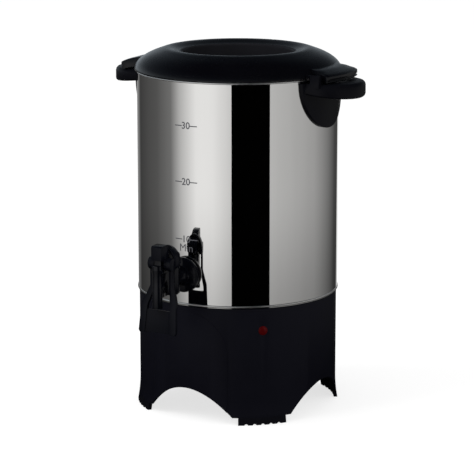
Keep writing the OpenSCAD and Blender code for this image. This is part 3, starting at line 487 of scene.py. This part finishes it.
# its outline, turned round its own axis: radii, and distances from the urn's axis
stem_r = 0.0029
stem_end = 0.0901
flange_r = 0.0043
flange_back = 0.0946
flange_face = 0.0956
flange_round = 0.0004
groove = 0.0001
dome_r = 0.0034
dome_rise = 0.0007
lens_outline = [(0.0, stem_end), (stem_r, stem_end), (stem_r, flange_back), (flange_r, flange_back),
                (flange_r, flange_face - flange_round), (flange_r - 0.0001, flange_face - 0.00015),
                (flange_r - flange_round, flange_face), (dome_r + groove, flange_face)]
lens_outline += [(dome_r * math.cos(math.radians(a)), flange_face + dome_rise * math.sin(math.radians(a)))
                 for a in range(0, 91, 15)]
pilot_lens = lathe("pilot_lens", lens_outline, 40)
for vertex in pilot_lens.data.vertices:
    x, y, out = vertex.co
    vertex.co = lens_centre + lens_out * out + lens_across * x + Vector((0.0, 0.0, y))
pilot_lens.data.flip_normals()
pilot_lens.data.materials.append(lens_red)
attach(pilot_lens, "urn")
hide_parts("indicator_lens")
# the lamp's glass, tinted orange by the electrodes in it
lamp_glass = moulded("glass_neon_lamp", "#c99a80", "#d8ab92", 0.1, 2.0, 0.004)
finish_node("indicator_lamp", lamp_glass)

# ---- Power inlet ----
# A black moulded appliance inlet with three plated pins, held by two screws on a flat pad at the back.
# The cord unplugs from it.

# black nylon, satin from its mould
inlet_nylon = moulded("nylon_inlet_black", "#0c0c0f", "#121215", 0.42, 0.9, 0.02, specular=0.3)
# brass whose thin plating lets a little yellow through
plated_brass = plated("brass_nickel_plated", "#c8b98e", "#d6c9a2", 0.25, 1.0, 0.008)
finish_node("power_inlet", inlet_nylon)
finish_node("inlet_pins", plated_brass)

# ---- Handles ----
# Two black ABS grips, each one moulding with an apron that follows the drum, screwed on from inside the
# tank. A post on one end of each grip stops the ear of the lid.

# satin black ABS: a little more sheen than the base, and a finer grain
grip_abs = moulded("abs_satin_black", "#08080d", "#0d0d13", 0.4, 0.8, 0.012, specular=0.08)
for side in ("right", "left"):
    welded("handle_" + side, "grip_" + side, "urn", grip_abs, edge_mm=0.4)

# ---- Tap ----
# A cup-operated tap in black nylon: body with valve chamber and spout, knurled bonnet, and a lever with a
# paddle. It is clamped to the drum by its nut, on a rubber ring outside and a silicone washer inside.

# glossy black nylon from a polished mould: small bright highlights
tap_nylon = moulded("nylon_glossy_black", "#05060b", "#08090f", 0.16, 1.1, 0.003, specular=0.2)
# the lever's nylon, a little duller and paler
lever_nylon = moulded("nylon_satin_black", "#08090f", "#0c0d14", 0.24, 1.1, 0.004, specular=0.08)
# food-grade silicone: milky grey and matt
silicone = moulded("silicone_food_grade", "#b9b6ae", "#c6c3bb", 0.55, 1.0, 0.01)
finish_node("tap_gasket", pad_rubber)
finish_node("tap_inner_washer", silicone)
finish_node("tap_seat_cup", silicone)
welded("tap_body", "tap_casting", "urn", tap_nylon, edge_mm=0.3)
welded("tap_bonnet", "tap_cap", "urn", tap_nylon)
welded("tap_lever", "lever_moulding", "tap_handle", lever_nylon, edge_mm=0.35)


def joint(name):
    """A joint's row in the record."""
    return next(row for row in frame["record"]["behaviour"]["joints"] if row["name"] == name)


# the valve's spring: its upper coil rests in the bonnet, and the stem's collar presses its lower coil up
valve_spring = welded("tap_spring", "valve_spring", "urn", bright_plate)
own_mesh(valve_spring)

# the round arch behind the hood, that stands on the two drums and stiffens the lever: half widths outside
# and inside, heights of its top and of the space under it, and front and back, all from the pivot
pivot = Vector(joint("lever_tilt")["pos_m"])
arch_half = 0.0132
arch_in = 0.0102
arch_crown = 0.0155
arch_under = 0.0133
arch_front = 0.0030
arch_back = 0.0121
arch_steps = 24
# its edges that turn by more than rim_turn are rounded
rim_turn = math.radians(50)
arch_round = 0.0007
# down one foot: height from the pivot, outer and inner half widths, front and back from the pivot
arch_foot = ((-0.0048, 0.0118, 0.0100, 0.0030, 0.0056), (-0.0018, 0.0131, 0.0102, 0.0030, 0.0100))
arch = [(-outer, up, -inner, up, near, far) for up, outer, inner, near, far in arch_foot]
for i in range(arch_steps + 1):
    turn = math.pi * i / arch_steps
    arch.append((-arch_half * math.cos(turn), arch_crown * math.sin(turn),
                 -arch_in * math.cos(turn), arch_under * math.sin(turn), arch_front, arch_back))
arch += [(outer, up, inner, up, near, far) for up, outer, inner, near, far in reversed(arch_foot)]
arch_mesh = bmesh.new()
rows = [[], [], [], []]
for outer_x, outer_z, inner_x, inner_z, near, far in arch:
    for row, (x, z, y) in zip(rows, ((outer_x, outer_z, near), (outer_x, outer_z, far),
                                     (inner_x, inner_z, far), (inner_x, inner_z, near))):
        row.append(arch_mesh.verts.new((x, pivot.y + y, pivot.z + z)))
for side in range(4):
    near, far = rows[side], rows[(side + 1) % 4]
    for i in range(len(near) - 1):
        arch_mesh.faces.new((near[i], near[i + 1], far[i + 1], far[i]))
for end in (0, -1):
    arch_mesh.faces.new([row[end] for row in rows])
bmesh.ops.recalc_face_normals(arch_mesh, faces=arch_mesh.faces)
rims = [e for e in arch_mesh.edges if e.calc_face_angle(0) > rim_turn]
bmesh.ops.bevel(arch_mesh, geom=rims, offset=arch_round, segments=3, profile=0.5, affect="EDGES",
                clamp_overlap=True)
for face in arch_mesh.faces:
    face.smooth = True
lever_arch = built("lever_arch", arch_mesh)
lever_arch.data.materials.append(lever_nylon)
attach(lever_arch, "tap_handle")

# ---- Percolator ----
# A pump tube with a bell foot, a basket and its spreader, all spun or drawn from aluminium and left satin.
# Boiling water rises in the tube and rains through the spreader on to the coffee.

for spun in ("pump_tube", "filter_basket", "basket_spreader"):
    finish_node(spun, satin_aluminium)

# ---- Lid ----
# A domed lid in black polypropylene with a deep hand recess, two ears that turn under the grips' posts,
# and a silicone ring that seals it to the rim of the tank. The dome is satin; the recess has moulded ribs.

# how far each part of the lid's form is moved, and the radii between which the change fades in or out:
# the recess is drawn in by a share of its radius
recess_draw = 0.0745
recess_fade = (0.0592, 0.0700)
# the lip of the recess is let down, and a low crest is left outside it; both only near the lid's top
lip_fall = 0.0046
lip_fade = (0.0582, 0.0680)
crest_rise = 0.0004
crest_start = (0.0600, 0.0680)
crest_end = (0.0690, 0.0780)
top_z = (0.3300, 0.3400)
# the ears are let down towards their tips
ear_fall = 0.0026
ear_fade = (0.0985, 0.1080)


def ease(value, low, high):
    """0 below low, 1 above high, and a smooth step between."""
    share = min(1.0, max(0.0, (value - low) / (high - low)))
    return share * share * (3.0 - 2.0 * share)


def rolled_lip(point):
    """The recess drawn in, its lip rolled over behind a crest further out, and the ears' tips let down."""
    r = point.xy.length
    drawn_in = recess_draw * (1.0 - ease(r, *recess_fade))
    lip_drop = lip_fall * (1.0 - ease(r, *lip_fade))
    crest = crest_rise * ease(r, *crest_start) * (1.0 - ease(r, *crest_end))
    ear_drop = ear_fall * ease(r, *ear_fade)
    z = point.z + ease(point.z, *top_z) * (crest - lip_drop) - ear_drop
    return Vector((point.x * (1.0 - drawn_in), point.y * (1.0 - drawn_in), z))


def from_axis(tree, spot):
    """Distance from the urn's axis of separated coordinates."""
    flat = add(tree, "ShaderNodeCombineXYZ", inputs={0: spot.outputs[0], 1: spot.outputs[1]})
    reach = add(tree, "ShaderNodeVectorMath", {"operation": "LENGTH"}, {0: flat.outputs[0]})
    return reach.outputs["Value"]


# satin polypropylene; the mould's recess is spark-eroded, so it is paler and quite matt
# radii between which the matt recess turns into the satin dome, and the sizes of blotches and grain
matt_inside = 0.0532
satin_outside = 0.0560
lid_blotches_per_metre = 33.0
lid_grains_per_metre = 1400.0
lid_plastic, tree, place = new_material("polypropylene_satin_black")
spot = add(tree, "ShaderNodeSeparateXYZ", inputs={0: place})
in_recess = add(tree, "ShaderNodeMapRange", {"interpolation_type": "SMOOTHSTEP"},
                {"Value": from_axis(tree, spot), "From Min": matt_inside, "From Max": satin_outside,
                 "To Min": 1.0, "To Max": 0.0})
blotch = add(tree, "ShaderNodeTexNoise", {},
             {"Vector": place, "Scale": lid_blotches_per_metre, "Detail": 4.0})
grain = add(tree, "ShaderNodeTexNoise", {}, {"Vector": place, "Scale": lid_grains_per_metre, "Detail": 3.0})
dome_tint = add(tree, "ShaderNodeMix", {"data_type": "RGBA"},
                {0: blotch.outputs["Fac"], 6: hex_colour("#040408"), 7: hex_colour("#07070c")})
cup_tint = add(tree, "ShaderNodeMix", {"data_type": "RGBA"},
               {0: blotch.outputs["Fac"], 6: hex_colour("#17171b"), 7: hex_colour("#212126")})
tint = add(tree, "ShaderNodeMix", {"data_type": "RGBA"},
           {0: in_recess.outputs[0], 6: dome_tint.outputs[2], 7: cup_tint.outputs[2]})
dome_gloss = add(tree, "ShaderNodeMapRange", {},
                 {"Value": blotch.outputs["Fac"], "From Min": noise_low, "From Max": noise_high,
                  "To Min": 0.22, "To Max": 0.29})
gloss = add(tree, "ShaderNodeMapRange", {},
            {"Value": in_recess.outputs[0], "To Min": dome_gloss.outputs[0], "To Max": 0.6})
bump = add(tree, "ShaderNodeBump", {},
           {"Height": grain.outputs["Fac"], "Strength": 1.0, "Distance": 0.000004})
close_material(tree, add(tree, "ShaderNodeBsdfPrincipled", {},
                         {"Base Color": tint.outputs[2], "Roughness": gloss.outputs[0], "IOR": 1.49,
                          "Specular IOR Level": 0.3, "Normal": bump.outputs[0]}))
welded("lid", "lid_moulding", "lid", lid_plastic, edge_mm=0.3, form=rolled_lip)
finish_node("lid_seal", silicone)

# ---- Studio ----
# A pale floor, a soft studio round the urn that only its gloss sees, plain soft lamps and the camera.
# The studio wall is a ring of cards with one black flag, which polished steel shows as a black band.


def seen_rays(tree):
    """1 for what the camera, a reflection or clear glass sees, and 0 for the light on the object."""
    path = add(tree, "ShaderNodeLightPath")
    seen = path.outputs["Is Camera Ray"]
    for ray in ("Is Glossy Ray", "Is Transmission Ray"):
        most = add(tree, "ShaderNodeMath", {"operation": "MAXIMUM"}, {0: seen, 1: path.outputs[ray]})
        seen = most.outputs[0]
    return seen


# the world is plain white where it is seen, and lights the urn at a lower strength
world = bpy.data.worlds.new("studio")
bpy.context.scene.world = world
world.use_nodes = True
tree = world.node_tree
tree.nodes.clear()
strength = add(tree, "ShaderNodeMapRange", {}, {"Value": seen_rays(tree), "To Min": 0.62, "To Max": 1.0})
sky = add(tree, "ShaderNodeBackground", {},
          {"Color": hex_colour("#ffffff"), "Strength": strength.outputs[0]})
add(tree, "ShaderNodeOutputWorld", inputs={"Surface": sky.outputs[0]})

# pale matt paper with a faint grain; where it is seen, its own glow lifts it to white, and the urn's shadow
# stays on it
fibres_per_metre = 300.0
floor_half = 6
floor_mesh = bpy.data.meshes.new("floor")
floor_mesh.from_pydata([(-floor_half, -floor_half, 0), (floor_half, -floor_half, 0),
                        (floor_half, floor_half, 0), (-floor_half, floor_half, 0)], [], [(0, 1, 2, 3)])
floor = linked("floor", floor_mesh)
floor_paper, tree, place = new_material("paper_matt_white")
fibre = add(tree, "ShaderNodeTexNoise", {}, {"Vector": place, "Scale": fibres_per_metre, "Detail": 3.0})
tint = add(tree, "ShaderNodeMix", {"data_type": "RGBA"},
           {0: fibre.outputs["Fac"], 6: hex_colour("#acacac"), 7: hex_colour("#b2b2b2")})
lift = add(tree, "ShaderNodeMath", {"operation": "MULTIPLY"}, {0: seen_rays(tree), 1: 0.72})
paper = add(tree, "ShaderNodeBsdfDiffuse", {}, {"Color": tint.outputs[2]})
glow = add(tree, "ShaderNodeEmission", {}, {"Color": hex_colour("#ffffff"), "Strength": lift.outputs[0]})
close_material(tree, add(tree, "ShaderNodeAddShader", inputs={0: paper.outputs[0], 1: glow.outputs[0]}))
floor.data.materials.append(floor_paper)


def swept(name, edge, other_edge, steps, from_deg=0.0, to_deg=360.0):
    """A strip between two (radius, height) edges, swept round the axis; directions are from the tap."""
    columns = steps if to_deg - from_deg == 360.0 else steps + 1
    turns = [math.radians(from_deg + (to_deg - from_deg) * i / steps) for i in range(columns)]
    made = bpy.data.meshes.new(name)
    made.from_pydata([(r * math.sin(t), -r * math.cos(t), z) for r, z in (edge, other_edge) for t in turns],
                     [], [(i, (i + 1) % columns, columns + (i + 1) % columns, columns + i)
                          for i in range(steps)])
    return made


def studio_card(name, mesh, finish):
    """Hangs a card or flag of the studio, which only reflections see."""
    card = linked(name, mesh)
    card.data.materials.append(finish)
    card.visible_camera = False
    card.visible_diffuse = False
    card.visible_shadow = False
    card.visible_transmission = False
    card.visible_volume_scatter = False


wall_r = 0.41
wall_top = 0.95

# the cards glow by themselves, so that reflections show their greys
cards, tree, place = new_material("studio_cards")
spot = add(tree, "ShaderNodeSeparateXYZ", inputs={0: place})
# angle from the tap towards +X, as a share of a full turn that starts at the back
front = add(tree, "ShaderNodeMath", {"operation": "MULTIPLY"}, {0: spot.outputs[1], 1: -1.0})
turn = add(tree, "ShaderNodeMath", {"operation": "ARCTAN2"}, {0: spot.outputs[0], 1: front.outputs[0]})
share = add(tree, "ShaderNodeMapRange", {},
            {"Value": turn.outputs[0], "From Min": -math.pi, "From Max": math.pi})
# height as a share of the wall's
height = add(tree, "ShaderNodeMapRange", {},
             {"Value": spot.outputs[2], "From Min": 0.0, "From Max": wall_top})
# direction in degrees from the tap, and the grey there: from the back, a card that falls from white to
# grey, a dark gap on the left, the white front card, then grey cards that fall off to the right and to a
# dark gap at the back
card_greys = ((-180, "#ffffff"), (-110, "#707070"), (-104, "#404040"), (-63, "#5a5a5a"), (-42, "#787878"),
              (-30, "#c0c0c0"), (-12, "#f8f8f8"), (5, "#f8f8f8"), (25, "#d8d8d8"), (118, "#a8a8a8"),
              (163, "#484848"), (176, "#404040"), (180, "#ffffff"))
# and the height and the grey there: above the urn's rim the wall falls to black, so that the lid stays dark
upper_greys = ((0.33, "#9aa2a8"), (0.48, "#484e54"), (0.7, "#242a2e"), (0.95, "#0c0d0f"))
round_wall = add(tree, "ShaderNodeValToRGB", {}, {0: share.outputs[0]})
upper_wall = add(tree, "ShaderNodeValToRGB", {}, {0: height.outputs[0]})
for ramp, stops in ((round_wall, [((degrees + 180) / 360, grey) for degrees, grey in card_greys]),
                    (upper_wall, [(z / wall_top, grey) for z, grey in upper_greys])):
    for i, (where, grey) in enumerate(stops):
        stop = ramp.color_ramp.elements[i] if i < 2 else ramp.color_ramp.elements.new(where)
        stop.position = where
        stop.color = hex_colour(grey)
# the cards darken a little towards the floor
low = add(tree, "ShaderNodeMapRange", {"interpolation_type": "SMOOTHSTEP"},
          {"Value": spot.outputs[2], "From Min": 0.0, "From Max": 0.17, "To Min": 0.6, "To Max": 1.0})
shaded = add(tree, "ShaderNodeVectorMath", {"operation": "SCALE"},
             {0: round_wall.outputs[0], "Scale": low.outputs[0]})
# and their cloth runs on over the floor, where it falls to black round the urn
outer = add(tree, "ShaderNodeMapRange", {"interpolation_type": "SMOOTHSTEP"},
            {"Value": from_axis(tree, spot), "From Min": 0.22, "From Max": wall_r,
             "To Min": 0.01, "To Max": 1.0})
shaded = add(tree, "ShaderNodeVectorMath", {"operation": "SCALE"},
             {0: shaded.outputs[0], "Scale": outer.outputs[0]})
# the cards give way to the upper wall round the height of the urn's rim
above = add(tree, "ShaderNodeMapRange", {"interpolation_type": "SMOOTHSTEP"},
            {"Value": spot.outputs[2], "From Min": 0.29, "From Max": 0.34})
# and the upper wall is brighter on the left, where a window would be
leftward = add(tree, "ShaderNodeMapRange", {},
               {"Value": spot.outputs[0], "From Min": -wall_r, "From Max": wall_r,
                "To Min": 2.0, "To Max": 0.3})
upper_lit = add(tree, "ShaderNodeVectorMath", {"operation": "SCALE"},
                {0: upper_wall.outputs[0], "Scale": leftward.outputs[0]})
glow = add(tree, "ShaderNodeMix", {"data_type": "RGBA"},
           {0: above.outputs[0], 6: shaded.outputs[0], 7: upper_lit.outputs[0]})
close_material(tree, add(tree, "ShaderNodeEmission", {}, {"Color": glow.outputs[2], "Strength": 1.0}))
studio_card("studio_wall", swept("studio_wall", (wall_r, 0.0), (wall_r, wall_top), 180), cards)

# matt black cloth of the flag: no sheen, and hardly any weave
threads_per_metre = 700.0
flag_black, tree, place = new_material("cloth_matt_black")
weave = add(tree, "ShaderNodeTexNoise", {}, {"Vector": place, "Scale": threads_per_metre})
tint = add(tree, "ShaderNodeMix", {"data_type": "RGBA"},
           {0: weave.outputs["Fac"], 6: hex_colour("#010101"), 7: hex_colour("#030303")})
close_material(tree, add(tree, "ShaderNodeBsdfDiffuse", {}, {"Color": tint.outputs[2]}))

# the flag stands just inside the cards, between two directions in degrees from the tap
flag_from = 24.7
flag_to = 63.0
flag_r = wall_r - 0.004
flag_top = 0.31
flag_mesh = swept("studio_flag", (flag_r, 0.0), (flag_r, flag_top), 24, flag_from, flag_to)
studio_card("studio_flag", flag_mesh, flag_black)

# the cards' cloth over the floor, from under the urn to just behind the wall
cloth_z = 0.001
cloth_mesh = swept("studio_cloth", (0.02, cloth_z), (wall_r + 0.003, cloth_z), 48)
studio_card("studio_cloth", cloth_mesh, cards)

# the flag's own foot lies on that cloth and reaches in towards the urn
foot_z = 0.002
foot_mesh = swept("studio_flag_foot", (0.2, foot_z), (wall_r - 0.003, foot_z), 12, flag_from, flag_to)
studio_card("studio_flag_foot", foot_mesh, flag_black)

# a dark grey roof closes the studio
roof_steps = 48
roof_turns = [2 * math.pi * i / roof_steps for i in range(roof_steps)]
roof_mesh = bpy.data.meshes.new("studio_roof")
roof_mesh.from_pydata([(wall_r * math.cos(t), wall_r * math.sin(t), wall_top) for t in roof_turns],
                      [], [tuple(range(roof_steps))])
roof_grey, tree, place = new_material("studio_roof_grey")
fall = add(tree, "ShaderNodeTexGradient", {"gradient_type": "SPHERICAL"}, {"Vector": place})
tint = add(tree, "ShaderNodeMix", {"data_type": "RGBA"},
           {0: fall.outputs["Fac"], 6: hex_colour("#0c0d0f"), 7: hex_colour("#08080a")})
close_material(tree, add(tree, "ShaderNodeEmission", {}, {"Color": tint.outputs[2], "Strength": 1.0}))
studio_card("studio_roof", roof_mesh, roof_grey)


def soft_lamp(name, place, aim, size, power):
    """A square soft lamp that points at aim."""
    light = bpy.data.lights.new(name, "AREA")
    light.shape = "SQUARE"
    light.size = size
    light.energy = power
    lamp = linked(name, light)
    lamp.location = place
    lamp.rotation_euler = (Vector(aim) - Vector(place)).to_track_quat("-Z", "Y").to_euler()
    lamp.visible_glossy = False


urn_middle = (0, 0, 0.17)
soft_lamp("key_lamp", (-1.6, -1.9, 2.4), urn_middle, 1.8, 46.0)
soft_lamp("fill_lamp", (2.4, -0.8, 1.6), urn_middle, 2.0, 16.0)

camera_data = bpy.data.cameras.new("camera")
camera_data.sensor_width = 36.0
camera_data.lens = 167.4
camera_data.clip_end = 50.0
camera = linked("camera", camera_data)
camera.location = (1.0713, -1.7829, 0.606)
camera.rotation_euler = (math.radians(77.9), 0.0, math.radians(31.025))
bpy.context.scene.camera = camera

bpy.context.scene.view_settings.view_transform = "Standard"
